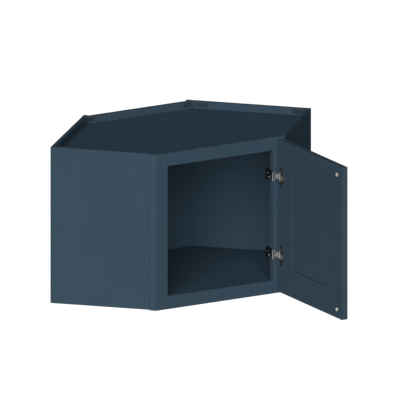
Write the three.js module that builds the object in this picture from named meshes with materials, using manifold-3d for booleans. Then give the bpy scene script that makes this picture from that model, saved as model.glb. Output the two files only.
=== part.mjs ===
// A diagonal corner wall cabinet for a kitchen: a plywood box whose rear corner is clipped,
// a hardwood face frame across the front, and a frame-and-panel door on two face-frame
// hinges. The door is drawn open, square to the front.
//
// Millimetres, +Z up. +X runs to the right along the front, the front faces -Y, and the
// corner of the room lies on +Y. The origin is the middle of the face frame's underside.

import * as THREE from 'three';
import { mergeVertices } from 'three/addons/utils/BufferGeometryUtils.js';
import Module from 'manifold-3d';

const wasm = await Module();
wasm.setup();

// ---- Driving dimensions: box ----
const HEIGHT = 457.2; // 18 in
const WALL_RUN = 609; // room corner to the outer side of a stile, along either wall
const END_DEPTH = 311.5; // wall to the front edge of a stile, along an end
const BOARD = 12.7; // thickness of every box board
const CORNER_CUT = 180; // room corner to the outer face of the corner back panel
const BACK_START = 237.5; // room corner to the near end of a wall back panel
const TOP_RECESS = 22; // rim above the top panel
const FLOOR_HEIGHT = 33; // upper face of the bottom panel
const HOUSING = 6; // depth of the grooves that hold the top and bottom panels
const RABBET = 6.35; // depth of the step in an end panel that holds a back panel
const GAP = 0.3; // clearance left in every joint

// ---- Driving dimensions: face frame ----
const FRAME_THICK = 19.05;
const STILE_WIDTH = 38.1;
const RAIL_WIDTH = 38.1;
const STILE_PROUD = 6.5; // a stile stands this far outside its end panel
const STILE_RETURN = 19; // length of a stile's outer edge, along the end
const TENON = { length: 20, thick: 8, height: 24 };

// ---- Driving dimensions: door ----
const DOOR_WIDTH = 361.95; // 14 1/4 in
const DOOR_HEIGHT = 446.1; // 17 9/16 in
const DOOR_THICK = 19.05;
const DOOR_MEMBER = 79; // width of the door's stiles and rails
const GROOVE_DEPTH = 10; // groove in the door's frame for its center panel
const TONGUE_THICK = 5.9; // the part of the panel and of the rails that the groove holds
const BACK_RECESS = 2; // center panel below the frame, on the back
const FRONT_RECESS = 7.55; // center panel below the frame, on the front
const FIELD_GAP = 1.3; // shadow line round the center panel's field
const BUMPER = { radius: 5, height: 2.4, inset: 26, lift: 0.05 };
const OPEN_ANGLE = Math.PI / 2; // how the door is drawn

// ---- Driving dimensions: hinges ----
const PIVOT_INSET = 26.5; // pivot axis to the face frame's right corner
const PIVOT_FORWARD = 2.7; // pivot axis in front of the face frame
const DOOR_EDGE_TO_PIVOT = 2.7; // hinge-side edge of the door to the pivot axis
const DOOR_BACK_TO_PIVOT = 0.3; // closed door's back in front of the pivot axis
const HINGE_HEIGHTS = { upper: 342.9, lower: 114.3 };
const KNUCKLE_RADIUS = 1.9;
const PIN = { radius: 1, head: 1.6, headTall: 0.8 };
const PLATE = { half: 15.8, thick: 1.9, depth: 40, lip: 9, lipThick: 3, body: 4, corner: 4 };
const ARM = { sheet: 1.2, half: 13.75, leaf: 7.9, neckHalf: 4.5, lap: 8.4, frontGap: 0.1 };
const CUP = {
  radius: 17.2,
  wall: 1.3,
  depth: 11.2,
  corner: 1, // chamfer round the foot
  rim: 18.6,
  rimThick: 0.9,
  toEdge: 20.5, // middle of the cup to the door's hinge-side edge
};
const CUP_BORE = { radius: 17.5, depth: 12.2 };
const CUP_NOTCH = { from: 8, depth: 2, clear: 1 }; // cut for the link in the cup's hinge side
const EAR = { screw: 24, halfWidth: 6.5, end: 29.5 }; // the cup flange's two ears
// The link, measured from the pivot towards the cup: two cheeks on the pin, a bar across,
// a hook that rolls down into the cup, slit free of the bar's ends, and two prongs whose
// outer edges are folded into lugs.
const LINK = {
  thick: 1,
  cheek: 2,
  barFrom: 10,
  barTo: 14,
  barHalf: 12.2,
  prongEnd: 19,
  prongWide: 3.2,
  lugFrom: 14.6,
  lugDeep: 5,
  hookHalf: 5.5,
  hookDeep: 4.5,
  bend: 2.2, // outer radius of the hook's roll
  slit: 0.5,
};

// ---- Driving dimensions: rim brackets and screws ----
const BRACKET = {
  tall: 11.2,
  thick: 1.5,
  below: 8.5, // its middle, below the rim
  leg: 38, // of an end bracket
  screw: 25, // from an end bracket's bend
  cornerLeg: 28.5, // of a corner bracket, along the corner back panel
  wallLeg: 43.5, // of a corner bracket, along the wall back panel
  cornerScrew: 20, // from a corner bracket's bend
};
const BRACKET_SCREW = { head: 3.2, dome: 1.6, shank: 1.5, length: 8 };
const PLATE_SCREW = { head: 3.4, dome: 1.3, shank: 1.7, length: 16 };
const SET_SCREW = { head: 3, dome: 0.9, shank: 2, length: 5.5 };
const CUP_SCREW = { head: 4.2, dome: 1.2, shank: 1.7, length: 12 };
// Shares of the radius and of the height, up the side of a screw's dome and of a bumper.
const SCREW_DOME = [[1, 0.35], [0.75, 0.85]];
const BUMPER_DOME = [[1, 0.4], [0.9, 0.75], [0.6, 0.95]];

// ---- Worked out from the driving dimensions ----
const HALF_ROOT = Math.SQRT1_2; // the walls run at 45 degrees to the front
const FRONT_Y = -FRAME_THICK / 2;
const FRAME_BACK_Y = FRAME_THICK / 2;
const HALF_FRONT = (WALL_RUN - END_DEPTH) * HALF_ROOT;
const HALF_OPENING = HALF_FRONT - STILE_WIDTH;
const ROOM_CORNER_Y = FRONT_Y + (WALL_RUN + END_DEPTH) * HALF_ROOT;
const CORNER_OUTER_Y = ROOM_CORNER_Y - CORNER_CUT;
const CORNER_INNER_Y = CORNER_OUTER_Y - BOARD;
const END_OUTER = WALL_RUN - STILE_PROUD; // outer face of an end panel, along the wall
const END_INNER = END_OUTER - BOARD;
const TOP_FACE = HEIGHT - TOP_RECESS;
const PIVOT = { x: HALF_FRONT - PIVOT_INSET, y: FRONT_Y - PIVOT_FORWARD };
const DOOR_BOTTOM = (HEIGHT - DOOR_HEIGHT) / 2;
const DOOR_TOP = DOOR_BOTTOM + DOOR_HEIGHT;
const DOOR_BACK_Y = -DOOR_BACK_TO_PIVOT; // the door's own frame: closed, axis at the origin
const DOOR_FRONT_Y = DOOR_BACK_Y - DOOR_THICK;
const HINGE_EDGE_X = -DOOR_EDGE_TO_PIVOT;
const FREE_EDGE_X = HINGE_EDGE_X - DOOR_WIDTH;
const PANEL_BACK_Y = DOOR_BACK_Y - BACK_RECESS;
const PANEL_FRONT_Y = DOOR_FRONT_Y + FRONT_RECESS;
const TONGUE_BACK_Y = PANEL_FRONT_Y + TONGUE_THICK;
const CUP_X = HINGE_EDGE_X - CUP.toEdge;
const ROUND = 32; // sides of a large round
const SMALL_ROUND = 20; // sides of a screw or pin
const OVERRUN = 1; // how far a cutter reaches past what it cuts

// ---- Finishes ----
const paint = () => new THREE.MeshStandardMaterial({ color: 0x3c4f5e, roughness: 0.55 });
const steel = () => new THREE.MeshStandardMaterial({ color: 0xb4b6b8, roughness: 0.3, metalness: 1 });
const zinc = () => new THREE.MeshStandardMaterial({ color: 0x3a4248, roughness: 0.55, metalness: 0.4 });
const blackened = () => new THREE.MeshStandardMaterial({ color: 0x101214, roughness: 0.5 });
const bumperRubber = () => new THREE.MeshStandardMaterial({ color: 0xd8d2c4, roughness: 0.6 });

// ---- Plan points ----

// The point at a run along the right wall from the room corner, and a distance in from it.
function byRightWall(run, off) {
  return [(run - off) * HALF_ROOT, ROOM_CORNER_Y - (run + off) * HALF_ROOT];
}

// The run at which a line parallel to the right wall reaches the height y of the plan.
function runAt(y, off) {
  return (ROOM_CORNER_Y - y) / HALF_ROOT - off;
}

function mirrored(points) {
  return points.map(([x, y]) => [-x, y]).reverse();
}

// ---- Solids ----

function prism(points, low, high) {
  const outline = new THREE.Shape(points.map(([x, y]) => new THREE.Vector2(x, y)));
  const geometry = new THREE.ExtrudeGeometry(outline, { depth: high - low, bevelEnabled: false });
  return geometry.translate(0, 0, low);
}

function block([x0, x1], [y0, y1], [z0, z1]) {
  const geometry = new THREE.BoxGeometry(x1 - x0, y1 - y0, z1 - z0);
  return geometry.translate((x0 + x1) / 2, (y0 + y1) / 2, (z0 + z1) / 2);
}

// An upright cylinder.
function post(x, y, radius, low, high, sides = SMALL_ROUND) {
  const geometry = new THREE.CylinderGeometry(radius, radius, high - low, sides);
  return geometry.rotateX(Math.PI / 2).translate(x, y, (low + high) / 2);
}

// A profile of [radius, height] points, turned about the Y axis.
function turned(profile, sides = SMALL_ROUND) {
  return new THREE.LatheGeometry(profile.map(([r, y]) => new THREE.Vector2(r, y)), sides);
}

function toManifold(geometry) {
  const bare = geometry.clone();
  bare.deleteAttribute('normal');
  bare.deleteAttribute('uv');
  const merged = mergeVertices(bare, 1e-4);
  const mesh = new wasm.Mesh({
    numProp: 3,
    vertProperties: new Float32Array(merged.attributes.position.array),
    triVerts: new Uint32Array(merged.index.array),
  });
  return new wasm.Manifold(mesh);
}

function toGeometry(manifold) {
  const mesh = manifold.getMesh();
  const geometry = new THREE.BufferGeometry();
  geometry.setAttribute('position', new THREE.BufferAttribute(mesh.vertProperties, 3));
  geometry.setIndex(new THREE.BufferAttribute(mesh.triVerts, 1));
  geometry.computeVertexNormals();
  return geometry;
}

function joined(...geometries) {
  const [first, ...rest] = geometries.map(toManifold);
  return toGeometry(rest.reduce((whole, part) => whole.add(part), first));
}

function cut(geometry, ...tools) {
  const whole = toManifold(geometry);
  return toGeometry(tools.map(toManifold).reduce((left, tool) => left.subtract(tool), whole));
}

function shared(geometry, other) {
  return toGeometry(toManifold(geometry).intersect(toManifold(other)));
}

function piece(name, geometry, material) {
  const mesh = new THREE.Mesh(geometry, material);
  mesh.name = name;
  return mesh;
}

// ---- Screws: the head's underside is at the origin and the head stands up along +Y ----

function screwGeometry({ head, dome, shank, length }) {
  return turned([
    [0, -length],
    [shank, -length + shank],
    [shank, 0],
    [head, 0],
    ...SCREW_DOME.map(([across, up]) => [head * across, dome * up]),
    [0, dome],
  ]);
}

function pilot({ shank, length }) {
  return turned([
    [0, -length - OVERRUN],
    [shank + GAP, -length - OVERRUN],
    [shank + GAP, OVERRUN],
    [0, OVERRUN],
  ]);
}

// Where a screw goes: the foot of its head, and the way that the head faces in the plan.
function placed(geometry, { at, facing }) {
  const turn = facing - Math.PI / 2;
  return geometry.rotateZ(turn).translate(...at);
}

function screwPiece(name, size, place, material) {
  return piece(name, placed(screwGeometry(size), place), material);
}

// ---- Top and bottom panels: one outline, held in grooves all round but at the front ----

// The panel's outline, made larger all round by grow.
function panelOutline(grow) {
  const off = BOARD - HOUSING - grow;
  const cornerY = CORNER_INNER_Y + HOUSING + grow;
  const endRun = END_INNER + HOUSING + grow;
  const frontY = FRAME_BACK_Y + GAP;
  const right = [
    byRightWall(endRun, runAt(frontY, endRun)),
    byRightWall(endRun, off),
    byRightWall(runAt(cornerY, off), off),
  ];
  return [...right, ...mirrored(right)];
}

const PANEL_LEVELS = {
  top_panel: [TOP_FACE - BOARD, TOP_FACE],
  bottom_panel: [FLOOR_HEIGHT - BOARD, FLOOR_HEIGHT],
};

function panelHousings() {
  return Object.values(PANEL_LEVELS).map(([low, high]) =>
    prism(panelOutline(GAP), low - GAP, high + GAP));
}

function panels() {
  return Object.entries(PANEL_LEVELS).map(([name, [low, high]]) =>
    piece(name, prism(panelOutline(0), low, high), paint()));
}

// ---- Rim brackets, drawn for the right-hand side ----

const BRACKET_Z = HEIGHT - BRACKET.below;

// Along the corner back panel and the right back panel.
function cornerBracketOutline() {
  const face = (inset) => {
    const y = CORNER_INNER_Y - inset;
    const off = BOARD + inset;
    return byRightWall(runAt(y, off), off);
  };
  const outer = face(GAP);
  const inner = face(GAP + BRACKET.thick);
  const run = runAt(outer[1], BOARD + GAP) + BRACKET.wallLeg;
  return [
    [outer[0] - BRACKET.cornerLeg, outer[1]],
    [outer[0] - BRACKET.cornerLeg, inner[1]],
    inner,
    byRightWall(run, BOARD + GAP + BRACKET.thick),
    byRightWall(run, BOARD + GAP),
    outer,
  ];
}

// Along the right back panel and the right end panel.
function endBracketOutline() {
  const run = END_INNER - GAP;
  const off = BOARD + GAP;
  return [
    byRightWall(run, off),
    byRightWall(run - BRACKET.leg, off),
    byRightWall(run - BRACKET.leg, off + BRACKET.thick),
    byRightWall(run - BRACKET.thick, off + BRACKET.thick),
    byRightWall(run - BRACKET.thick, off + BRACKET.leg),
    byRightWall(run, off + BRACKET.leg),
  ];
}

// Each bracket's two screws, on the right-hand side.
function bracketScrews() {
  const lift = GAP + BRACKET.thick;
  const corner = byRightWall(runAt(CORNER_INNER_Y, BOARD), BOARD);
  const wallRun = runAt(CORNER_INNER_Y, BOARD) + BRACKET.cornerScrew;
  const place = ([x, y], facing) => ({ at: [x, y, BRACKET_Z], facing });
  return {
    corner: [
      place([corner[0] - BRACKET.cornerScrew, CORNER_INNER_Y - lift], -Math.PI / 2),
      place(byRightWall(wallRun, BOARD + lift), -Math.PI * 0.75),
    ],
    end: [
      place(byRightWall(END_INNER - BRACKET.screw, BOARD + lift), -Math.PI * 0.75),
      place(byRightWall(END_INNER - lift, BOARD + BRACKET.screw), Math.PI * 0.75),
    ],
  };
}

function flipped({ at: [x, y, z], facing }) {
  return { at: [-x, y, z], facing: Math.PI - facing };
}

function onSide(side, points) {
  return side === 'right' ? points : mirrored(points);
}

function placeOnSide(side, place) {
  return side === 'right' ? place : flipped(place);
}

function brackets(side) {
  const outlines = { corner: cornerBracketOutline(), end: endBracketOutline() };
  const low = BRACKET_Z - BRACKET.tall / 2;
  const pieces = [];
  for (const [where, screws] of Object.entries(bracketScrews())) {
    const strip = prism(onSide(side, outlines[where]), low, low + BRACKET.tall);
    const places = screws.map((place) => placeOnSide(side, place));
    const holes = places.map((place) => placed(pilot(BRACKET_SCREW), place));
    pieces.push(piece(`${side}_${where}_bracket`, cut(strip, ...holes), zinc()));
    places.forEach((place, i) => {
      const name = `${side}_${where}_bracket_screw_${i + 1}`;
      pieces.push(screwPiece(name, BRACKET_SCREW, place, zinc()));
    });
  }
  return pieces;
}

function bracketPilots() {
  return ['left', 'right'].flatMap((side) =>
    Object.values(bracketScrews()).flat().map((place) =>
      placed(pilot(BRACKET_SCREW), placeOnSide(side, place))));
}

// ---- Box boards ----

function endPanelOutline() {
  const frontOff = END_DEPTH - STILE_RETURN - GAP;
  const behindFrame = (run) => runAt(FRAME_BACK_Y + GAP, run);
  const stepRun = runAt(FRAME_BACK_Y + GAP, frontOff);
  return [
    byRightWall(END_OUTER, 0),
    byRightWall(END_OUTER, frontOff),
    byRightWall(stepRun, frontOff),
    byRightWall(END_INNER, behindFrame(END_INNER)),
    byRightWall(END_INNER, BOARD + GAP),
    byRightWall(END_INNER + RABBET, BOARD + GAP),
    byRightWall(END_INNER + RABBET, 0),
  ];
}

function backPanelOutline() {
  const end = END_INNER + RABBET - GAP;
  return [
    byRightWall(BACK_START, 0),
    byRightWall(BACK_START, BOARD),
    byRightWall(end, BOARD),
    byRightWall(end, 0),
  ];
}

function cornerPanelOutline() {
  const off = BOARD + GAP;
  const right = [
    byRightWall(runAt(CORNER_INNER_Y, off), off),
    byRightWall(runAt(CORNER_OUTER_Y, off), off),
  ];
  return [...right, ...mirrored(right)];
}

function boards() {
  const tools = [...panelHousings(), ...bracketPilots()];
  const board = (name, outline) => piece(name, cut(prism(outline, 0, HEIGHT), ...tools), paint());
  return [
    board('right_end_panel', endPanelOutline()),
    board('left_end_panel', mirrored(endPanelOutline())),
    board('right_back_panel', backPanelOutline()),
    board('left_back_panel', mirrored(backPanelOutline())),
    board('corner_back_panel', cornerPanelOutline()),
  ];
}

// ---- Face frame ----

function stileOutline() {
  const returnOff = END_DEPTH - STILE_RETURN;
  return [
    [HALF_OPENING, FRONT_Y],
    [HALF_FRONT, FRONT_Y],
    byRightWall(WALL_RUN, returnOff),
    byRightWall(runAt(FRAME_BACK_Y, returnOff), returnOff),
    [HALF_OPENING, FRAME_BACK_Y],
  ];
}

const RAIL_LEVELS = {
  frame_bottom_rail: [0, RAIL_WIDTH],
  frame_top_rail: [HEIGHT - RAIL_WIDTH, HEIGHT],
};

// A tenon, or its mortise when grown, that runs through from one stile to the other.
function tenonBar([low, high], grow) {
  const reach = HALF_OPENING + TENON.length + grow;
  const halfThick = TENON.thick / 2 + grow;
  const middle = (low + high) / 2;
  const halfTall = TENON.height / 2 + grow;
  return block([-reach, reach], [-halfThick, halfThick], [middle - halfTall, middle + halfTall]);
}

function rail(name, level) {
  const reach = HALF_OPENING - GAP;
  const bar = block([-reach, reach], [FRONT_Y, FRAME_BACK_Y], level);
  return piece(name, joined(bar, tenonBar(level, 0)), paint());
}

function faceFrame() {
  const mortises = Object.values(RAIL_LEVELS).map((level) => tenonBar(level, GAP));
  const plateHoles = Object.values(HINGE_HEIGHTS).map((height) =>
    placed(pilot(PLATE_SCREW), plateScrewPlace(height)));
  const stile = (name, outline, ...holes) =>
    piece(name, cut(prism(outline, 0, HEIGHT), ...mortises, ...holes), paint());
  return [
    stile('frame_right_stile', stileOutline(), ...plateHoles),
    stile('frame_left_stile', mirrored(stileOutline())),
    ...Object.entries(RAIL_LEVELS).map(([name, level]) => rail(name, level)),
  ];
}

// ---- Hinge, the side on the face frame. Its plan is measured from the right stile's
// inner front edge: across onto the stile is +, and back along the stile's edge is +. ----

const PLATE_FACE = -GAP - PLATE.thick; // face of the mounting plate, across
const PLATE_SCREW_BACK = 12; // plate screw, back from the front of the frame
const SIDE_SCREW = { back: 28.5, up: 4.5 };
const DEPTH_SCREW = { back: 21.7, up: -5.5 };

function byStileEdge(across, back) {
  return [HALF_OPENING + across, FRONT_Y + back];
}

function facingOpening(back, height) {
  const [x, y] = byStileEdge(PLATE_FACE, back);
  return { at: [x, y, height], facing: Math.PI };
}

function plateScrewPlace(height) {
  return facingOpening(PLATE_SCREW_BACK, height);
}

// The plate's side view, seen across the opening, with its two rear corners rounded.
function plateSide(height) {
  const { half, depth, corner } = PLATE;
  const side = new THREE.Shape();
  side.moveTo(0, -half);
  side.absarc(depth - corner, corner - half, corner, -Math.PI / 2, 0);
  side.absarc(depth - corner, half - corner, corner, 0, Math.PI / 2);
  side.lineTo(0, half);
  const across = { depth: PLATE.lip - PLATE_FACE + 2 * OVERRUN, bevelEnabled: false, curveSegments: 6 };
  const geometry = new THREE.ExtrudeGeometry(side, across);
  geometry.rotateX(Math.PI / 2).rotateZ(Math.PI / 2);
  return geometry.translate(HALF_OPENING + PLATE_FACE - OVERRUN, FRONT_Y, height);
}

function hingePlate(height) {
  const behind = FRAME_THICK + GAP;
  const outline = [
    byStileEdge(PLATE_FACE, GAP),
    byStileEdge(-GAP, GAP),
    byStileEdge(-GAP, behind),
    byStileEdge(PLATE.lip, behind),
    byStileEdge(PLATE.lip, behind + PLATE.lipThick),
    byStileEdge(PLATE.body, behind + PLATE.lipThick),
    byStileEdge(PLATE.body, PLATE.depth),
    byStileEdge(PLATE_FACE, PLATE.depth),
  ];
  const holes = [
    placed(pilot(PLATE_SCREW), plateScrewPlace(height)),
    placed(pilot(SET_SCREW), facingOpening(SIDE_SCREW.back, height + SIDE_SCREW.up)),
    placed(pilot(SET_SCREW), facingOpening(DEPTH_SCREW.back, height + DEPTH_SCREW.up)),
  ];
  const whole = prism(outline, height - PLATE.half, height + PLATE.half);
  return cut(shared(whole, plateSide(height)), ...holes);
}

// An angle of sheet that laps the plate and the front of the stile, then narrows to a neck
// with the knuckle at its end.
function hingeArm(height) {
  const { sheet, half, leaf, neckHalf, lap, frontGap } = ARM;
  const lapFace = PLATE_FACE - GAP;
  const angle = [
    byStileEdge(lapFace - sheet, -frontGap - sheet),
    byStileEdge(leaf, -frontGap - sheet),
    byStileEdge(leaf, -frontGap),
    byStileEdge(lapFace, -frontGap),
    byStileEdge(lapFace, lap),
    byStileEdge(lapFace - sheet, lap),
  ];
  const neck = block(
    [HALF_OPENING + leaf - sheet, PIVOT.x],
    [FRONT_Y - frontGap - sheet, FRONT_Y - frontGap],
    [height - neckHalf, height + neckHalf],
  );
  const whole = joined(
    prism(angle, height - half, height + half),
    neck,
    post(PIVOT.x, PIVOT.y, KNUCKLE_RADIUS, height - neckHalf, height + neckHalf),
  );
  const reach = neckHalf + OVERRUN;
  return cut(whole, post(PIVOT.x, PIVOT.y, PIN.radius + GAP, height - reach, height + reach));
}

const CHEEK_FROM = ARM.neckHalf + GAP; // the link's cheeks, from the hinge's middle
const CHEEK_TO = CHEEK_FROM + LINK.cheek;

function hingePin(height) {
  const low = height - CHEEK_TO - GAP;
  const high = height + CHEEK_TO + GAP;
  return joined(
    post(PIVOT.x, PIVOT.y, PIN.radius, low, high),
    post(PIVOT.x, PIVOT.y, PIN.head, low - PIN.headTall, low),
    post(PIVOT.x, PIVOT.y, PIN.head, high, high + PIN.headTall),
  );
}

function hingeFrameSide(prefix, height) {
  const side = facingOpening(SIDE_SCREW.back, height + SIDE_SCREW.up);
  const depth = facingOpening(DEPTH_SCREW.back, height + DEPTH_SCREW.up);
  return [
    piece(`${prefix}_hinge_plate`, hingePlate(height), blackened()),
    screwPiece(`${prefix}_hinge_plate_screw`, PLATE_SCREW, plateScrewPlace(height), blackened()),
    screwPiece(`${prefix}_hinge_side_screw`, SET_SCREW, side, steel()),
    screwPiece(`${prefix}_hinge_depth_screw`, SET_SCREW, depth, steel()),
    piece(`${prefix}_hinge_arm`, hingeArm(height), steel()),
    piece(`${prefix}_hinge_pin`, hingePin(height), blackened()),
  ];
}

// ---- Door: drawn closed about the pivot axis, and turned open by its group ----

// The layer of the door that its grooves take up, or with no growth its tongues and tenons.
function acrossDoor([x0, x1], [z0, z1], grow) {
  return block([x0, x1], [PANEL_FRONT_Y - grow, TONGUE_BACK_Y + grow], [z0, z1]);
}

const INNER_HINGE_X = HINGE_EDGE_X - DOOR_MEMBER;
const INNER_FREE_X = FREE_EDGE_X + DOOR_MEMBER;
const INNER_BOTTOM = DOOR_BOTTOM + DOOR_MEMBER;
const INNER_TOP = DOOR_TOP - DOOR_MEMBER;

function cupScrewPlaces(height) {
  return [EAR.screw, -EAR.screw].map((up) => ({
    at: [CUP_X, DOOR_BACK_Y + GAP + CUP.rimThick, height + up],
    facing: Math.PI / 2,
  }));
}

function doorStile(name, [x0, x1], [grooveX0, grooveX1], holes) {
  const bar = block([x0, x1], [DOOR_FRONT_Y, DOOR_BACK_Y], [DOOR_BOTTOM, DOOR_TOP]);
  const tall = [DOOR_BOTTOM - OVERRUN, DOOR_TOP + OVERRUN];
  const groove = acrossDoor([grooveX0, grooveX1], tall, GAP);
  return piece(name, cut(bar, groove, ...holes), paint());
}

function doorRail(name, level, [grooveLow, grooveHigh]) {
  const shoulder = [INNER_FREE_X + GAP, INNER_HINGE_X - GAP];
  const tenon = [INNER_FREE_X - GROOVE_DEPTH + GAP, INNER_HINGE_X + GROOVE_DEPTH - GAP];
  const bar = joined(
    block(shoulder, [DOOR_FRONT_Y, DOOR_BACK_Y], level),
    acrossDoor(tenon, level, 0),
  );
  const long = [tenon[0] - OVERRUN, tenon[1] + OVERRUN];
  const groove = acrossDoor(long, [grooveLow, grooveHigh], GAP);
  return piece(name, cut(bar, groove), paint());
}

function centerPanel() {
  const tongue = GROOVE_DEPTH - 2 * GAP;
  const field = block(
    [INNER_FREE_X + FIELD_GAP, INNER_HINGE_X - FIELD_GAP],
    [PANEL_FRONT_Y, PANEL_BACK_Y],
    [INNER_BOTTOM + FIELD_GAP, INNER_TOP - FIELD_GAP],
  );
  const edge = acrossDoor(
    [INNER_FREE_X - tongue, INNER_HINGE_X + tongue],
    [INNER_BOTTOM - tongue, INNER_TOP + tongue],
    0,
  );
  return piece('door_center_panel', joined(field, edge), paint());
}

function cupBore(height) {
  const bore = turned([
    [0, -CUP_BORE.depth],
    [CUP_BORE.radius, -CUP_BORE.depth],
    [CUP_BORE.radius, OVERRUN],
    [0, OVERRUN],
  ], ROUND);
  return bore.translate(CUP_X, DOOR_BACK_Y, height);
}

function doorPieces() {
  const heights = Object.values(HINGE_HEIGHTS);
  const holes = heights.flatMap((height) => [
    cupBore(height),
    ...cupScrewPlaces(height).map((place) => placed(pilot(CUP_SCREW), place)),
  ]);
  return [
    doorStile('door_hinge_stile', [INNER_HINGE_X, HINGE_EDGE_X],
      [INNER_HINGE_X - OVERRUN, INNER_HINGE_X + GROOVE_DEPTH], holes),
    doorStile('door_free_stile', [FREE_EDGE_X, INNER_FREE_X],
      [INNER_FREE_X - GROOVE_DEPTH, INNER_FREE_X + OVERRUN], []),
    doorRail('door_top_rail', [INNER_TOP, DOOR_TOP],
      [INNER_TOP - OVERRUN, INNER_TOP + GROOVE_DEPTH]),
    doorRail('door_bottom_rail', [DOOR_BOTTOM, INNER_BOTTOM],
      [INNER_BOTTOM - GROOVE_DEPTH, INNER_BOTTOM + OVERRUN]),
    centerPanel(),
  ];
}

function bumper(name, height) {
  const { radius, height: tall, inset, lift } = BUMPER;
  const dome = turned([
    [0, 0],
    [radius, 0],
    ...BUMPER_DOME.map(([across, up]) => [radius * across, tall * up]),
    [0, tall],
  ], ROUND);
  dome.translate(FREE_EDGE_X + inset, DOOR_BACK_Y + lift, height);
  return piece(name, dome, bumperRubber());
}

// ---- Hinge, the side on the door ----

// A pressed cup with a flat rim and two ears, notched where the link passes over its edge.
function hingeCup(height) {
  const rimLow = DOOR_BACK_Y + GAP;
  const rimHigh = rimLow + CUP.rimThick;
  const floor = rimLow - CUP.depth;
  const bowl = turned([
    [0, floor],
    [CUP.radius - CUP.corner, floor],
    [CUP.radius, floor + CUP.corner],
    [CUP.radius, rimLow],
    [CUP.rim, rimLow],
    [CUP.rim, rimHigh],
    [0, rimHigh],
  ], ROUND);
  const hollow = turned([
    [0, floor + CUP.wall],
    [CUP.radius - CUP.wall, floor + CUP.wall],
    [CUP.radius - CUP.wall, rimHigh + OVERRUN],
    [0, rimHigh + OVERRUN],
  ], ROUND);
  const earEnd = EAR.end - EAR.halfWidth;
  const earBar = block([-EAR.halfWidth, EAR.halfWidth], [rimLow, rimHigh], [-earEnd, earEnd]);
  const earRound = (up) => turned([
    [0, rimLow],
    [EAR.halfWidth, rimLow],
    [EAR.halfWidth, rimHigh],
    [0, rimHigh],
  ]).translate(0, 0, up);
  const notchHalf = LINK.barHalf + CUP_NOTCH.clear;
  const notch = block(
    [CUP_NOTCH.from, CUP.rim + OVERRUN],
    [-CUP_NOTCH.depth, rimHigh + OVERRUN],
    [-notchHalf, notchHalf],
  );
  const whole = joined(bowl, earBar, earRound(earEnd), earRound(-earEnd));
  const screws = cupScrewPlaces(0).map((place) =>
    placed(pilot(CUP_SCREW), place).translate(-CUP_X, 0, 0));
  return cut(whole, hollow, notch, ...screws).translate(CUP_X, 0, height);
}

// The link is drawn with the door closed: x falls away from the pin towards the cup, and y is
// out of the door. Its hook is the bar's sheet, rolled down at the far edge.
function linkHook(height) {
  const { thick, barFrom, barTo, hookHalf, hookDeep, bend } = LINK;
  const middle = [bend - barTo, thick - bend];
  const strip = new THREE.Shape();
  strip.moveTo(-barFrom, 0);
  strip.absarc(...middle, bend - thick, Math.PI / 2, Math.PI, false);
  strip.lineTo(thick - barTo, -hookDeep);
  strip.lineTo(-barTo, -hookDeep);
  strip.absarc(...middle, bend, Math.PI, Math.PI / 2, true);
  strip.lineTo(-barFrom, thick);
  const along = { depth: 2 * hookHalf, bevelEnabled: false, curveSegments: 6 };
  return new THREE.ExtrudeGeometry(strip, along).translate(0, 0, height - hookHalf);
}

function hingeLink(height) {
  const { thick, barFrom, barTo, barHalf, prongEnd, prongWide, lugFrom, lugDeep } = LINK;
  const flat = [0, thick];
  const sides = [1, -1].flatMap((side) => {
    const span = (from, to) => [height + side * from, height + side * to].sort((a, b) => a - b);
    return [
      post(0, 0, KNUCKLE_RADIUS, ...span(CHEEK_FROM, CHEEK_TO)),
      block([-barFrom, 0], flat, span(CHEEK_FROM, CHEEK_TO)),
      block([-barTo, -barFrom], flat, span(LINK.hookHalf + LINK.slit, barHalf)),
      block([-prongEnd, -barTo], flat, span(barHalf - prongWide, barHalf)),
      block([-prongEnd, -lugFrom], [-lugDeep, thick], span(barHalf - thick, barHalf)),
    ];
  });
  const whole = joined(
    block([LINK.bend - barTo, -barFrom], flat, [height - barHalf, height + barHalf]),
    linkHook(height),
    ...sides,
  );
  const reach = CHEEK_TO + OVERRUN;
  return cut(whole, post(0, 0, PIN.radius + GAP, height - reach, height + reach));
}

function hingeDoorSide(prefix, height) {
  return [
    piece(`${prefix}_hinge_cup`, hingeCup(height), steel()),
    piece(`${prefix}_hinge_link`, hingeLink(height), steel()),
    ...cupScrewPlaces(height).map((place, i) =>
      screwPiece(`${prefix}_hinge_cup_screw_${i + 1}`, CUP_SCREW, place, blackened())),
  ];
}

// ---- Assembly ----

const cabinet = new THREE.Group();
cabinet.add(...boards(), ...panels(), ...faceFrame(), ...brackets('left'), ...brackets('right'));

const door = new THREE.Group();
door.add(...doorPieces());
door.add(bumper('upper_bumper', DOOR_TOP - BUMPER.inset));
door.add(bumper('lower_bumper', DOOR_BOTTOM + BUMPER.inset));

for (const [prefix, height] of Object.entries(HINGE_HEIGHTS)) {
  cabinet.add(...hingeFrameSide(prefix, height));
  door.add(...hingeDoorSide(prefix, height));
}

door.position.set(PIVOT.x, PIVOT.y, 0);
door.rotation.z = OPEN_ANGLE;

const cornerCabinet = new THREE.Group();
cornerCabinet.add(cabinet, door);

export default cornerCabinet;
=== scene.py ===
import math
import bmesh
import bpy
from mathutils import Matrix, Vector


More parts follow.
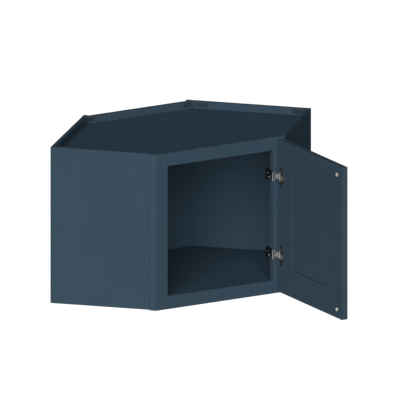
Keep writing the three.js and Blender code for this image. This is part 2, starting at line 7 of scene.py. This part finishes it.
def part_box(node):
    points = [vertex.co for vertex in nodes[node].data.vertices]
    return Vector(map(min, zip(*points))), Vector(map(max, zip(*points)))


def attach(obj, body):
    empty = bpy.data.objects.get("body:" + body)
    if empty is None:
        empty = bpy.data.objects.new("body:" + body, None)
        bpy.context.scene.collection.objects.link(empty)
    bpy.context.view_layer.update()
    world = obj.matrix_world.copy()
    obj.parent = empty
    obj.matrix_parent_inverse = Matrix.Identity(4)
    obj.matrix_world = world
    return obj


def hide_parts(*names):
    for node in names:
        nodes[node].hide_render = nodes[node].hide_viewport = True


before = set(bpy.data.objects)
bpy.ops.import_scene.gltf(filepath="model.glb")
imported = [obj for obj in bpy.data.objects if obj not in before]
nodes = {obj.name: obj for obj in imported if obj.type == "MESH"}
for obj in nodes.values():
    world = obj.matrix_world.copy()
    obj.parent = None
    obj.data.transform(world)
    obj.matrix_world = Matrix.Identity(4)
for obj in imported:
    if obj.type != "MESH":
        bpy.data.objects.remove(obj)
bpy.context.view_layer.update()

mm = 0.001
scene = bpy.context.scene
print("frame loaded,", len(nodes), "nodes")


# small helpers

limits = {"sharp": 30, "smoothUnder": 38, "flatUnder": 0.5,  # degrees
          "weld": 0.02}  # mm


def only(piece):  # nothing but this piece is selected
    bpy.ops.object.select_all(action="DESELECT")
    piece.select_set(True)
    bpy.context.view_layer.objects.active = piece


def pick(piece, kind, test):  # edit mode, with only the edges or faces that pass the test selected
    only(piece)
    bpy.ops.object.mode_set(mode="EDIT")
    bpy.ops.mesh.select_mode(type=kind)
    bpy.ops.mesh.select_all(action="DESELECT")
    mesh = bmesh.from_edit_mesh(piece.data)
    for part in mesh.edges if kind == "EDGE" else mesh.faces:
        part.select_set(bool(test(part)))
    bmesh.update_edit_mesh(piece.data)


def done():  # back from edit mode
    bpy.ops.object.mode_set(mode="OBJECT")


def modify(piece, kind, **settings):  # a modifier, applied at once
    only(piece)
    modifier = piece.modifiers.new(kind.title(), kind)
    for name, value in settings.items():
        setattr(modifier, name, value)
    bpy.ops.object.modifier_apply(modifier=modifier.name)


def carve(piece, tool, how="DIFFERENCE"):  # cuts the tool away, or joins it on, and clears it up
    modify(piece, "BOOLEAN", object=tool, operation=how, solver="EXACT")
    bpy.data.objects.remove(tool)


def isOuter(edge, shortest):  # a sharp outer edge, at least this long
    return (len(edge.link_faces) == 2 and edge.is_convex
            and edge.calc_face_angle() > math.radians(limits["sharp"])
            and edge.calc_length() >= shortest)


def ease(piece, width, segments, shortest):  # rounds the long outer edges
    pick(piece, "EDGE", lambda edge: isOuter(edge, shortest))
    bpy.ops.mesh.bevel(offset=width, segments=segments, affect="EDGES", clamp_overlap=False)
    done()


def runsAlong(edge, axis):
    run = edge.verts[1].co - edge.verts[0].co
    return abs(run[axis]) > 0.99 * run.length


def block(size, at, axis=None, radius=0.0, segments=4):  # edges along one axis can be rounded
    bpy.ops.mesh.primitive_cube_add(size=1, location=at)
    made = bpy.context.object
    made.scale = size
    bpy.ops.object.transform_apply(location=True, rotation=True, scale=True)
    if radius:
        pick(made, "EDGE", lambda edge: runsAlong(edge, axis))
        bpy.ops.mesh.bevel(offset=radius, segments=segments, affect="EDGES")
        done()
    return made


def merged(node, scale=1.0):  # a copy of a CAD node with its loose triangles made one shell
    copy = bpy.data.objects.new(node + "_copy", nodes[node].data.copy())
    copy.data.materials.clear()
    scene.collection.objects.link(copy)
    copy.data.transform(Matrix.Scale(scale, 4))
    only(copy)
    bpy.ops.object.mode_set(mode="EDIT")
    bpy.ops.mesh.select_all(action="SELECT")
    bpy.ops.mesh.remove_doubles(threshold=limits["weld"] * mm * scale)
    bpy.ops.mesh.dissolve_limited(angle_limit=math.radians(limits["flatUnder"]))
    done()
    return copy


def put(model, matrix):  # a copy of a model made in mm at the origin, set in its place
    copy = bpy.data.objects.new(model.name + "_copy", model.data.copy())
    scene.collection.objects.link(copy)
    copy.matrix_world = matrix @ Matrix.Scale(mm, 4) @ model.matrix_basis
    only(copy)
    bpy.ops.object.transform_apply(location=True, rotation=True, scale=True)
    return copy


def finishPiece(piece, name, body, finish, slotName, *replaced):  # names it and says what it is
    piece.name = piece.data.name = name
    piece.data.materials.clear()
    piece.data.materials.append(finish)
    only(piece)
    bpy.ops.object.shade_smooth_by_angle(angle=math.radians(limits["smoothUnder"]))
    modify(piece, "WEIGHTED_NORMAL", keep_sharp=True)  # flat faces stay flat beside eased edges
    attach(piece, body)
    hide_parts(*replaced)


# camera: parallel, from the left of the front and a little above

shot = {"azimuth": -30, "elevation": 15, "width": 1131.6, "toRight": -57.98, "toTop": 286.9,
        "frontY": -9.525, "away": 4000}  # degrees and mm; the picture's middle from the frame's foot
turn, rise = math.radians(shot["azimuth"]), math.radians(shot["elevation"])
pictureRight = Vector((math.cos(turn), math.sin(turn), 0))
backward = Vector((math.sin(turn) * math.cos(rise), -math.cos(turn) * math.cos(rise), math.sin(rise)))
pictureUp = backward.cross(pictureRight)
aim = Vector((0, shot["frontY"], 0)) + pictureRight * shot["toRight"] + pictureUp * shot["toTop"]
bpy.ops.object.camera_add(location=(aim + backward * shot["away"]) * mm,
                          rotation=(math.pi / 2 - rise, 0, turn))
camera = bpy.context.object
camera.data.type = "ORTHO"
camera.data.ortho_scale = shot["width"] * mm
scene.camera = camera


# nodes and colours

def shade(code):  # sRGB hex to linear
    parts = [int(code[i:i + 2], 16) / 255 for i in (0, 2, 4)]
    return [p / 12.92 if p <= 0.04045 else ((p + 0.055) / 1.055) ** 2.4 for p in parts] + [1]


def perMetre(size):  # texture scale of a feature's real size in mm
    return 1000 / size


def addNode(tree, kind, inputs=None, **settings):
    made = tree.nodes.new(kind)
    for name, value in settings.items():
        setattr(made, name, value)
    for name, value in (inputs or {}).items():
        if isinstance(value, tuple) and isinstance(value[0], bpy.types.Node):
            tree.links.new(value[0].outputs[value[1]], made.inputs[name])
        else:
            made.inputs[name].default_value = value
    return made


def newMaterial(name):
    material = bpy.data.materials.new(name)
    material.use_nodes = True
    material.node_tree.nodes.clear()
    return material, material.node_tree


# studio: one broad lamp from the camera's side, two level fills on the back, white behind

studio = {"lampToRight": -0.543, "lampToBack": -0.735, "lampUp": 0.38,
          "lampSpread": 50, "lampStrength": 3.06, "lampAway": 3,
          "fillToSide": 0.62, "fillToBack": 0.78, "fillSpread": 6, "fillStrength": 1.7,
          "around": "726c64", "aroundStrength": 0.55,
          "floorBelow": 1370, "floorWidth": 40000, "floorTint": "aaa9a7", "floorGlow": 0.9}


def addLamp(direction, strength, spread):
    bpy.ops.object.light_add(type="SUN", location=direction * studio["lampAway"],
                             rotation=direction.to_track_quat("Z", "Y").to_euler())
    lamp = bpy.context.object
    lamp.data.energy = strength
    lamp.data.angle = math.radians(spread)


addLamp(Vector((studio["lampToRight"], studio["lampToBack"], studio["lampUp"])),
        studio["lampStrength"], studio["lampSpread"])
for side in (-1, 1):
    addLamp(Vector((side * studio["fillToSide"], studio["fillToBack"], 0)),
            studio["fillStrength"], studio["fillSpread"])


def seenStraight(tree):  # 1 where the camera, a reflection or a clear part looks, 0 for soft light
    path = addNode(tree, "ShaderNodeLightPath")
    both = addNode(tree, "ShaderNodeMath", {0: (path, "Is Camera Ray"), 1: (path, "Is Glossy Ray")},
                   operation="ADD")
    return addNode(tree, "ShaderNodeMath", {0: (both, 0), 1: (path, "Is Transmission Ray")},
                   operation="ADD", use_clamp=True)


world = bpy.data.worlds.new("paleStudio")
scene.world = world
world.use_nodes = True
sky = world.node_tree
sky.nodes.clear()
soft = addNode(sky, "ShaderNodeBackground",
               {"Color": shade(studio["around"]), "Strength": studio["aroundStrength"]})
white = addNode(sky, "ShaderNodeBackground", {"Color": (1, 1, 1, 1), "Strength": 1})
around = addNode(sky, "ShaderNodeMixShader", {0: (seenStraight(sky), 0), 1: (soft, 0), 2: (white, 0)})
addNode(sky, "ShaderNodeOutputWorld", {"Surface": (around, 0)})

# the floor lies as far below as it does under a cabinet hung at its usual height
bpy.ops.mesh.primitive_plane_add(size=studio["floorWidth"] * mm,
                                 location=(0, 0, -studio["floorBelow"] * mm))
floor = bpy.context.object
floor.name = "studio_floor"
material, tree = newMaterial("matt floor paint")
matt = addNode(tree, "ShaderNodeBsdfDiffuse", {"Color": shade(studio["floorTint"])})
glow = addNode(tree, "ShaderNodeEmission", {"Strength": studio["floorGlow"]})
shown = addNode(tree, "ShaderNodeAddShader", {0: (matt, 0), 1: (glow, 0)})
mixed = addNode(tree, "ShaderNodeMixShader", {0: (seenStraight(tree), 0), 1: (matt, 0), 2: (shown, 0)})
addNode(tree, "ShaderNodeOutputMaterial", {"Surface": (mixed, 0)})
floor.data.materials.append(material)

scene.view_settings.view_transform = "Standard"
print("camera, lamp and floor are set")


# finishes

# slate blue catalysed lacquer, sprayed on wood: close to matt, with orange peel and a hint of grain
paint = {"light": "3c4f5e", "deep": "3a4c5a", "toneFrom": 0.7, "toneTo": 1.3, "sheen": 0.0,
         "roughness": 0.65, "roughSpread": 0.05, "cloudFrom": 0.3, "cloudTo": 0.7, "cloud": 240,
         "grainWide": 5, "grainLong": 160, "grainDepth": 0.03, "peel": 3.5, "peelDepth": 0.02}


def paintedWood(name, along):
    material, tree = newMaterial(name)
    place = addNode(tree, "ShaderNodeTexCoord")
    stretch = [perMetre(paint["grainWide"])] * 3
    stretch["XYZ".index(along)] = perMetre(paint["grainLong"])
    turned = addNode(tree, "ShaderNodeMapping", {"Vector": (place, "Object"), "Scale": stretch})
    grain = addNode(tree, "ShaderNodeTexNoise",  # drawn wider than pores, so that it shows
                    {"Vector": (turned, 0), "Scale": 1, "Detail": 4, "Roughness": 0.6})
    cloud = addNode(tree, "ShaderNodeTexNoise",  # spray passes
                    {"Vector": (place, "Object"), "Scale": perMetre(paint["cloud"]), "Detail": 2})
    peel = addNode(tree, "ShaderNodeTexNoise",  # orange peel
                   {"Vector": (place, "Object"), "Scale": perMetre(paint["peel"]), "Detail": 1})
    tone = addNode(tree, "ShaderNodeMath", {0: (grain, 0), 1: (cloud, 0)}, operation="ADD")
    factor = addNode(tree, "ShaderNodeMapRange", {"Value": (tone, 0), "From Min": paint["toneFrom"],
                                                  "From Max": paint["toneTo"]})
    colour = addNode(tree, "ShaderNodeMix",
                     {0: (factor, 0), 6: shade(paint["deep"]), 7: shade(paint["light"])},
                     data_type="RGBA")
    rough = addNode(tree, "ShaderNodeMapRange",
                    {"Value": (cloud, 0), "From Min": paint["cloudFrom"], "From Max": paint["cloudTo"],
                     "To Min": paint["roughness"] - paint["roughSpread"],
                     "To Max": paint["roughness"] + paint["roughSpread"]})
    fibres = addNode(tree, "ShaderNodeBump",
                     {"Height": (grain, 0), "Distance": paint["grainDepth"] * mm})
    skin = addNode(tree, "ShaderNodeBump",
                   {"Height": (peel, 0), "Distance": paint["peelDepth"] * mm, "Normal": (fibres, 0)})
    shader = addNode(tree, "ShaderNodeBsdfPrincipled",
                     {"Base Color": (colour, 2), "Roughness": (rough, 0), "Normal": (skin, 0),
                      "Specular IOR Level": paint["sheen"]})
    addNode(tree, "ShaderNodeOutputMaterial", {"Surface": (shader, 0)})
    return material


coat = {"toneFrom": 0.35, "toneTo": 0.65, "grainFrom": 0.3, "grainTo": 0.7, "roughSpread": 0.04}


def coated(name, values):  # metal, coating or rubber with a fine grain, mottled in tone and gloss
    material, tree = newMaterial(name)
    place = addNode(tree, "ShaderNodeTexCoord")
    turned = addNode(tree, "ShaderNodeMapping",
                     {"Vector": (place, "Object"),
                      "Scale": [perMetre(size) for size in values["grain"]]})
    grain = addNode(tree, "ShaderNodeTexNoise", {"Vector": (turned, 0), "Scale": 1, "Detail": 3})
    mottle = addNode(tree, "ShaderNodeTexNoise",
                     {"Vector": (place, "Object"), "Scale": perMetre(values["mottle"]), "Detail": 2})
    factor = addNode(tree, "ShaderNodeMapRange",
                     {"Value": (mottle, 0), "From Min": coat["toneFrom"], "From Max": coat["toneTo"]})
    colour = addNode(tree, "ShaderNodeMix",
                     {0: (factor, 0), 6: shade(values["deep"]), 7: shade(values["light"])},
                     data_type="RGBA")
    rough = addNode(tree, "ShaderNodeMapRange",
                    {"Value": (grain, 0), "From Min": coat["grainFrom"], "From Max": coat["grainTo"],
                     "To Min": values["roughness"] - coat["roughSpread"],
                     "To Max": values["roughness"] + coat["roughSpread"]})
    skin = addNode(tree, "ShaderNodeBump", {"Height": (grain, 0), "Distance": values["depth"] * mm})
    shader = addNode(tree, "ShaderNodeBsdfPrincipled",
                     {"Base Color": (colour, 2), "Roughness": (rough, 0), "Normal": (skin, 0),
                      "Metallic": values["metallic"], "Specular IOR Level": values["specular"]})
    addNode(tree, "ShaderNodeOutputMaterial", {"Surface": (shader, 0)})
    return material


upright = {part: paintedWood(part + " paint, upright grain", "Z") for part in ("box", "frame", "door")}
level = {"box": paintedWood("box paint, level grain", "X"),
         "frame": paintedWood("frame paint, level grain", "X"),
         "door": paintedWood("door paint, level grain", "Y")}
# nickel-plated pressed steel: bright, with faint lines of the rolled sheet
nickel = coated("nickel-plated pressed steel",
                {"light": "c6c6c5", "deep": "a3a4a6", "roughness": 0.3, "metallic": 1,
                 "specular": 0.5, "grain": (0.25, 0.25, 3), "mottle": 6, "depth": 0.002})
# nickel on the drawn cup: rougher, and a greyer copy of the nickel whose darker tone is painted shade
cupNickelPaintedShade = coated("cup nickel, painted shade",
                     {"light": "918f8b", "deep": "7e7c79", "roughness": 0.44, "metallic": 1,
                      "specular": 0.5, "grain": (0.3, 0.3, 0.3), "mottle": 6, "depth": 0.003})
# black powder-coated die casting: soft gloss over a sandy skin
blackCoat = coated("black coated die casting",
                   {"light": "111215", "deep": "090a0d", "roughness": 0.5, "metallic": 0,
                    "specular": 0.25, "grain": (0.6, 0.6, 0.6), "mottle": 8, "depth": 0.03})
# zinc-plated side screws: a mid grey shine
zincScrew = coated("zinc-plated screw steel",
                   {"light": "9b9d9e", "deep": "7d8082", "roughness": 0.38, "metallic": 1,
                    "specular": 0.5, "grain": (0.4, 0.4, 0.4), "mottle": 4, "depth": 0.004})
# zinc on the depth screws: a lighter copy of the side screws' zinc, its extra light a painted
# highlight
zincPaintedHighlight = coated("zinc screw steel, painted highlight",
                    {"light": "d2d3d4", "deep": "babcbd", "roughness": 0.42, "metallic": 1,
                     "specular": 0.5, "grain": (0.4, 0.4, 0.4), "mottle": 4, "depth": 0.004})
# near-black steel on the pins and the hinges' wood screws, with a dull steel gleam: black oxide on the
# screws, while on the pins the near black is painted shade of the gap by the knuckle
blackOxideAndPaintedShade = coated("black oxide screws and shaded pins",
                    {"light": "2a2d31", "deep": "1c1e21", "roughness": 0.45, "metallic": 0.5,
                     "specular": 0.4, "grain": (0.3, 0.3, 0.3), "mottle": 3, "depth": 0.003})
# dark passivated zinc on the strips and their screws: slate grey, dull, a little blotchy
darkZinc = coated("dark passivated zinc",
                  {"light": "3a434b", "deep": "2e373f", "roughness": 0.7, "metallic": 0.1,
                   "specular": 0.05, "grain": (2, 2, 0.6), "mottle": 11, "depth": 0.006})
# soft polyurethane bumper: milky, slightly yellowed
softPad = coated("cast polyurethane pad",
                 {"light": "ded7c8", "deep": "cec5b3", "roughness": 0.38, "metallic": 0,
                  "specular": 0.5, "grain": (0.8, 0.8, 0.8), "mottle": 5, "depth": 0.01})
print("finishes are made")


# boards, frame and door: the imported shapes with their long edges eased, as after sanding

easing = {"box": 0.8, "frame": 0.8, "door": 0.5, "segments": 3, "shortest": 12}
woodwork = {
    "left_end_panel": ("cabinet", "box", upright),
    "right_end_panel": ("cabinet", "box", upright),
    "left_back_panel": ("cabinet", "box", upright),
    "right_back_panel": ("cabinet", "box", upright),
    "corner_back_panel": ("cabinet", "box", upright),
    "top_panel": ("cabinet", "box", level),
    "bottom_panel": ("cabinet", "box", level),
    "frame_left_stile": ("cabinet", "frame", upright),
    "frame_right_stile": ("cabinet", "frame", upright),
    "frame_top_rail": ("cabinet", "frame", level),
    "frame_bottom_rail": ("cabinet", "frame", level),
    "door_hinge_stile": ("door", "door", upright),
    "door_free_stile": ("door", "door", upright),
    "door_top_rail": ("door", "door", level),
    "door_bottom_rail": ("door", "door", level),
    "door_center_panel": ("door", "door", upright),
}

for node, (body, part, finishes) in woodwork.items():
    piece = merged(node)
    ease(piece, easing[part] * mm, easing["segments"], easing["shortest"] * mm)
    finishPiece(piece, node + "_eased", body, finishes[part], part + "_paint", node)
print("woodwork:", len(woodwork), "boards")


# screws: a domed head with a cross recess, made in mm along Z with its underside at the origin

headShape = {"sides": 32, "rim": 0.35, "steps": ((0.3, 0.93), (0.2, 0.84), (0.12, 0.7)),
             "tip": 0.1}  # shares of the dome's height, how far each step shrinks, and the point
cross = {"reach": 0.62, "wide": 0.2, "tall": 1.3, "at": 1.02, "narrows": 0.55}  # shares of the head


def screwModel(values):
    head, dome, shank, length = (values[key] for key in ("head", "dome", "shank", "length"))
    rim = dome * headShape["rim"]
    bpy.ops.mesh.primitive_cylinder_add(vertices=headShape["sides"], radius=head, depth=rim,
                                        location=(0, 0, rim / 2))
    made = bpy.context.object
    pick(made, "FACE", lambda face: face.normal.z > 0.9)
    for lift, shrink in headShape["steps"]:
        bpy.ops.mesh.extrude_region_move(TRANSFORM_OT_translate={"value": (0, 0, dome * lift)})
        bpy.ops.transform.resize(value=(shrink, shrink, 1))
    done()
    pick(made, "FACE", lambda face: face.normal.z < -0.9)
    bpy.ops.mesh.inset(thickness=head - shank, use_even_offset=False)
    bpy.ops.mesh.extrude_region_move(TRANSFORM_OT_translate={"value": (0, 0, shank - length)})
    bpy.ops.mesh.extrude_region_move(TRANSFORM_OT_translate={"value": (0, 0, -shank)})
    bpy.ops.transform.resize(value=(headShape["tip"], headShape["tip"], 1))
    done()
    span, wide, tall = head * cross["reach"] * 2, head * cross["wide"], dome * cross["tall"]
    for size in ((span, wide, tall), (wide, span, tall)):
        tool = block(size, (0, 0, dome * cross["at"]))
        pick(tool, "FACE", lambda face: face.normal.z < -0.9)
        bpy.ops.transform.resize(value=(cross["narrows"], cross["narrows"], 1))  # towards its foot
        done()
        carve(made, tool)
    return made


def facingMatrix(foot, facing):  # +Z of the model turns to the way that the head faces
    turned = facing.to_track_quat("Z", "Y").to_matrix().to_4x4()
    return Matrix.Translation(foot) @ turned


def footOf(node, facing, dome):  # the foot of a screw's head, from where its CAD node is
    points = [vertex.co for vertex in nodes[node].data.vertices]
    side = Vector((-facing.y, facing.x, 0))
    foot = facing * (max(p.dot(facing) for p in points) - dome * mm)
    for axis in (side, Vector((0, 0, 1))):
        reach = [p.dot(axis) for p in points]
        foot += axis * (min(reach) + max(reach)) / 2
    return foot


half = math.sqrt(0.5)
toFront, toLeft = Vector((0, -1, 0)), Vector((-1, 0, 0))
screwKinds = {
    "bracket": {"head": 3.2, "dome": 1.6, "shank": 1.5, "length": 8},
    "plate": {"head": 3.4, "dome": 1.3, "shank": 1.7, "length": 16},
    "set": {"head": 3.0, "dome": 0.9, "shank": 2.0, "length": 5.5},
    "cam": {"head": 3.0, "dome": 0.9, "shank": 2.0, "length": 5.5},
    "cup": {"head": 4.2, "dome": 1.2, "shank": 1.7, "length": 12},
}
# the depth (cam) screws' lighter zinc is a painted highlight
screwFinishes = {"bracket": (darkZinc, "bracket_zinc"), "plate": (blackOxideAndPaintedShade, "hinge_black"),
                 "set": (zincScrew, "screw_steel"), "cam": (zincPaintedHighlight, "screw_steel"),
                 "cup": (blackOxideAndPaintedShade, "hinge_black")}
screwModels = {kind: screwModel(values) for kind, values in screwKinds.items()}
screws = {
    "left_corner_bracket_screw_1": ("bracket", "cabinet", toFront),
    "left_corner_bracket_screw_2": ("bracket", "cabinet", Vector((half, -half, 0))),
    "right_corner_bracket_screw_1": ("bracket", "cabinet", toFront),
    "right_corner_bracket_screw_2": ("bracket", "cabinet", Vector((-half, -half, 0))),
    "left_end_bracket_screw_1": ("bracket", "cabinet", Vector((half, -half, 0))),
    "left_end_bracket_screw_2": ("bracket", "cabinet", Vector((half, half, 0))),
    "right_end_bracket_screw_1": ("bracket", "cabinet", Vector((-half, -half, 0))),
    "right_end_bracket_screw_2": ("bracket", "cabinet", Vector((-half, half, 0))),
}
for prefix in ("upper_hinge", "lower_hinge"):
    screws[prefix + "_plate_screw"] = ("plate", "cabinet", toLeft)
    screws[prefix + "_side_screw"] = ("set", "cabinet", toLeft)
    screws[prefix + "_depth_screw"] = ("cam", "cabinet", toLeft)
    screws[prefix + "_cup_screw_1"] = ("cup", "door", toLeft)
    screws[prefix + "_cup_screw_2"] = ("cup", "door", toLeft)

for node, (kind, body, facing) in screws.items():
    foot = footOf(node, facing, screwKinds[kind]["dome"])
    piece = put(screwModels[kind], facingMatrix(foot, facing))
    finishPiece(piece, node + "_cross", body, *screwFinishes[kind], node)
for model in screwModels.values():
    bpy.data.objects.remove(model)
print("screws:", len(screws))


# rim brackets: bent strips with their edges deburred

strip = {"edge": 0.3, "segments": 2, "shortest": 4}
for side in ("left", "right"):
    for corner in ("corner", "end"):
        node = side + "_" + corner + "_bracket"
        piece = merged(node)
        ease(piece, strip["edge"] * mm, strip["segments"], strip["shortest"] * mm)
        finishPiece(piece, node + "_strip", "cabinet", darkZinc, "bracket_zinc", node)
print("rim brackets: 4")


# bumpers: low round pads with a rolled shoulder

pad = {"radius": 5.0, "tall": 2.4, "sides": 48, "shoulder": 1.5, "segments": 5,
       "dish": 0.25, "dishIn": 1.2}
bpy.ops.mesh.primitive_cylinder_add(vertices=pad["sides"], radius=pad["radius"], depth=pad["tall"],
                                    location=(0, 0, pad["tall"] / 2))
padModel = bpy.context.object
pick(padModel, "EDGE", lambda edge: all(v.co.z > pad["tall"] * 0.9 for v in edge.verts))
bpy.ops.mesh.bevel(offset=pad["shoulder"], segments=pad["segments"], affect="EDGES")
done()
pick(padModel, "FACE", lambda face: face.normal.z > 0.99 and len(face.verts) > 8)
bpy.ops.mesh.inset(thickness=pad["dishIn"])
bpy.ops.transform.translate(value=(0, 0, -pad["dish"]))
done()
for node in ("upper_bumper", "lower_bumper"):
    low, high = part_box(node)
    foot = Vector((high.x, (low.y + high.y) / 2, (low.z + high.z) / 2))
    finishPiece(put(padModel, facingMatrix(foot, toLeft)), node + "_pad", "door", softPad,
                "bumper_rubber", node)
bpy.data.objects.remove(padModel)
print("bumpers: 2")


# hinges: the upper one is modelled, the lower one is its copy

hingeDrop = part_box("lower_hinge_plate")[0].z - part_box("upper_hinge_plate")[0].z


def pair(piece, tail, look, body, finish, slotName):  # names the upper piece and copies it down
    finishPiece(piece, "upper_hinge_" + tail + look, body, finish, slotName, "upper_hinge_" + tail)
    lower = bpy.data.objects.new("lower", piece.data.copy())
    scene.collection.objects.link(lower)
    lower.location.z = hingeDrop
    only(lower)
    bpy.ops.object.transform_apply(location=True, rotation=True, scale=True)
    finishPiece(lower, "lower_hinge_" + tail + look, body, finish, slotName, "lower_hinge_" + tail)


def toMillimetres(node):  # the merged upper piece in mm, so that tools and easing are in mm too
    return merged(node, 1 / mm)


def toMetres(piece):
    piece.scale = (mm, mm, mm)
    only(piece)
    bpy.ops.object.transform_apply(location=True, rotation=True, scale=True)
    return piece


# black plate: rounded casting with a shallow groove behind the arm's lap
casting = {"edge": 0.4, "segments": 3, "shortest": 0.8,
           "grooveBack": 9.6, "grooveWide": 0.9, "grooveDeep": 0.5}
plate = toMillimetres("upper_hinge_plate")
low, high = (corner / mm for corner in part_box("upper_hinge_plate"))
middleZ = (low.z + high.z) / 2
carve(plate, block((casting["grooveDeep"] * 2, casting["grooveWide"], (high.z - low.z) * 1.1),
                   (low.x, low.y + casting["grooveBack"], middleZ)))
ease(plate, casting["edge"], casting["segments"], casting["shortest"])
pair(toMetres(plate), "plate", "_casting", "cabinet", blackCoat, "hinge_black")

# arm: pressed sheet with a rolled bend, a sunk middle and two slots
sheet = {"bend": 1.1, "bendSegments": 5,
         "slotWide": 2.6, "slotTall": 5.5, "slotRound": 1.274, "slotUp": 5.4, "slotIn": 3.9,
         "slotThrough": 6,
         "sunkFrom": 2.2, "sunkTo": 10.2, "sunkTall": 20, "sunkDeep": 0.35, "sunkRound": 2.4}
arm = toMillimetres("upper_hinge_arm")
low, high = (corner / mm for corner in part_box("upper_hinge_arm"))
leafFront = min(v.co.y for v in arm.data.vertices if v.co.x < low.x + 1)


def atBend(vert):
    return abs(vert.co.x - low.x) < 0.05 and abs(vert.co.y - leafFront) < 0.05


pick(arm, "EDGE", lambda edge: runsAlong(edge, 2) and all(atBend(v) for v in edge.verts))
bpy.ops.mesh.bevel(offset=sheet["bend"], segments=sheet["bendSegments"], affect="EDGES")
done()
sunkWide = sheet["sunkTo"] - sheet["sunkFrom"]
carve(arm, block((sunkWide, sheet["sunkDeep"] * 2, sheet["sunkTall"]),
                 (low.x + sheet["sunkFrom"] + sunkWide / 2, leafFront, middleZ),
                 axis=1, radius=sheet["sunkRound"]))
for upward in (1, -1):
    carve(arm, block((sheet["slotWide"], sheet["slotThrough"], sheet["slotTall"]),
                     (low.x + sheet["slotIn"], leafFront, middleZ + upward * sheet["slotUp"]),
                     axis=1, radius=sheet["slotRound"]))
pair(toMetres(arm), "arm", "_pressing", "cabinet", nickel, "hinge_nickel")

# pin and link: the pin's heads are domed and the link's edges are tumbled round
rounds = {"pinHead": 0.3, "pinShortest": 0.3, "link": 0.3, "linkShortest": 0.9, "segments": 3}
pin = toMillimetres("upper_hinge_pin")
ease(pin, rounds["pinHead"], rounds["segments"], rounds["pinShortest"])
# the pin's near black is painted shade of the gap by the knuckle
pair(toMetres(pin), "pin", "_turned", "cabinet", blackOxideAndPaintedShade, "hinge_black")

link = toMillimetres("upper_hinge_link")
ease(link, rounds["link"], rounds["segments"], rounds["linkShortest"])
pair(toMetres(link), "link", "_pressing", "door", nickel, "hinge_nickel")

# cup: drawn bowl with a flat rim and two rounded ears, made in mm with its opening up along Z
bowl = {"radius": 17.2, "wall": 1.3, "deep": 11.2, "rim": 18.6, "rimThick": 0.9, "sides": 72,
        "footRound": 2.4, "hollowRound": 1.68, "roundSegments": 4, "edge": 0.25, "edgeSegments": 2,
        "earHalf": 6.5, "earEnd": 29.5, "earRound": 6.435, "earSegments": 10,
        "screwAt": 24.0, "screwHole": 2.0, "holeSides": 24,
        "notchFrom": 8.0, "notchHalf": 13.2, "notchDeep": 2.0, "overrun": 5}
bpy.ops.mesh.primitive_cylinder_add(vertices=bowl["sides"], radius=bowl["radius"], depth=bowl["deep"],
                                    location=(0, 0, -bowl["deep"] / 2))
cup = bpy.context.object
pick(cup, "EDGE", lambda edge: all(v.co.z < -bowl["deep"] * 0.9 for v in edge.verts))
bpy.ops.mesh.bevel(offset=bowl["footRound"], segments=bowl["roundSegments"], affect="EDGES")
done()
bpy.ops.mesh.primitive_cylinder_add(vertices=bowl["sides"], radius=bowl["rim"], depth=bowl["rimThick"],
                                    location=(0, 0, bowl["rimThick"] / 2))
carve(cup, bpy.context.object, "UNION")
ears = block((bowl["earHalf"] * 2, bowl["earEnd"] * 2, bowl["rimThick"]),
             (0, 0, bowl["rimThick"] / 2),
             axis=2, radius=bowl["earRound"], segments=bowl["earSegments"])
carve(cup, ears, "UNION")
pick(cup, "EDGE", lambda edge: (isOuter(edge, 0)
                                and all(abs(v.co.z - bowl["rimThick"]) < 0.01 for v in edge.verts)))
bpy.ops.mesh.bevel(offset=bowl["edge"], segments=bowl["edgeSegments"], affect="EDGES")
done()
inner = bowl["radius"] - bowl["wall"]
hollowDeep = bowl["deep"] - bowl["wall"]
bpy.ops.mesh.primitive_cylinder_add(vertices=bowl["sides"], radius=inner,
                                    depth=hollowDeep + bowl["overrun"],
                                    location=(0, 0, (bowl["overrun"] - hollowDeep) / 2))
hollow = bpy.context.object
pick(hollow, "EDGE", lambda edge: all(v.co.z < -hollowDeep + 0.1 for v in edge.verts))
bpy.ops.mesh.bevel(offset=bowl["hollowRound"], segments=bowl["roundSegments"], affect="EDGES")
done()
carve(cup, hollow)
notchWide = bowl["radius"]  # reaches past the rim
notchTall = bowl["notchDeep"] + bowl["overrun"]
carve(cup, block((notchWide, bowl["notchHalf"] * 2, notchTall),
                 (bowl["notchFrom"] + notchWide / 2, 0, notchTall / 2 - bowl["notchDeep"])))
for upward in (1, -1):
    bpy.ops.mesh.primitive_cylinder_add(vertices=bowl["holeSides"], radius=bowl["screwHole"],
                                        depth=bowl["overrun"],
                                        location=(0, upward * bowl["screwAt"], 0))
    carve(cup, bpy.context.object)
low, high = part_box("upper_hinge_cup")
cupFace = Vector((low.x + bowl["rimThick"] * mm, low.y + bowl["rim"] * mm, (low.z + high.z) / 2))
# the opening faces left, the notch faces the hinge's pin, and the ears stand up and down
cupTurn = Matrix(((0, 0, -1, 0), (1, 0, 0, 0), (0, -1, 0, 0), (0, 0, 0, 1)))
cupPiece = put(cup, Matrix.Translation(cupFace) @ cupTurn)
bpy.data.objects.remove(cup)
# the cup's darker nickel is painted shade
pair(cupPiece, "cup", "_drawn", "door", cupNickelPaintedShade, "hinge_nickel")
print("hinges: 2")


for node, piece in nodes.items():  # a node that is still shown would have no finish of its own
    if not piece.hide_render:
        print("no piece stands for", node)
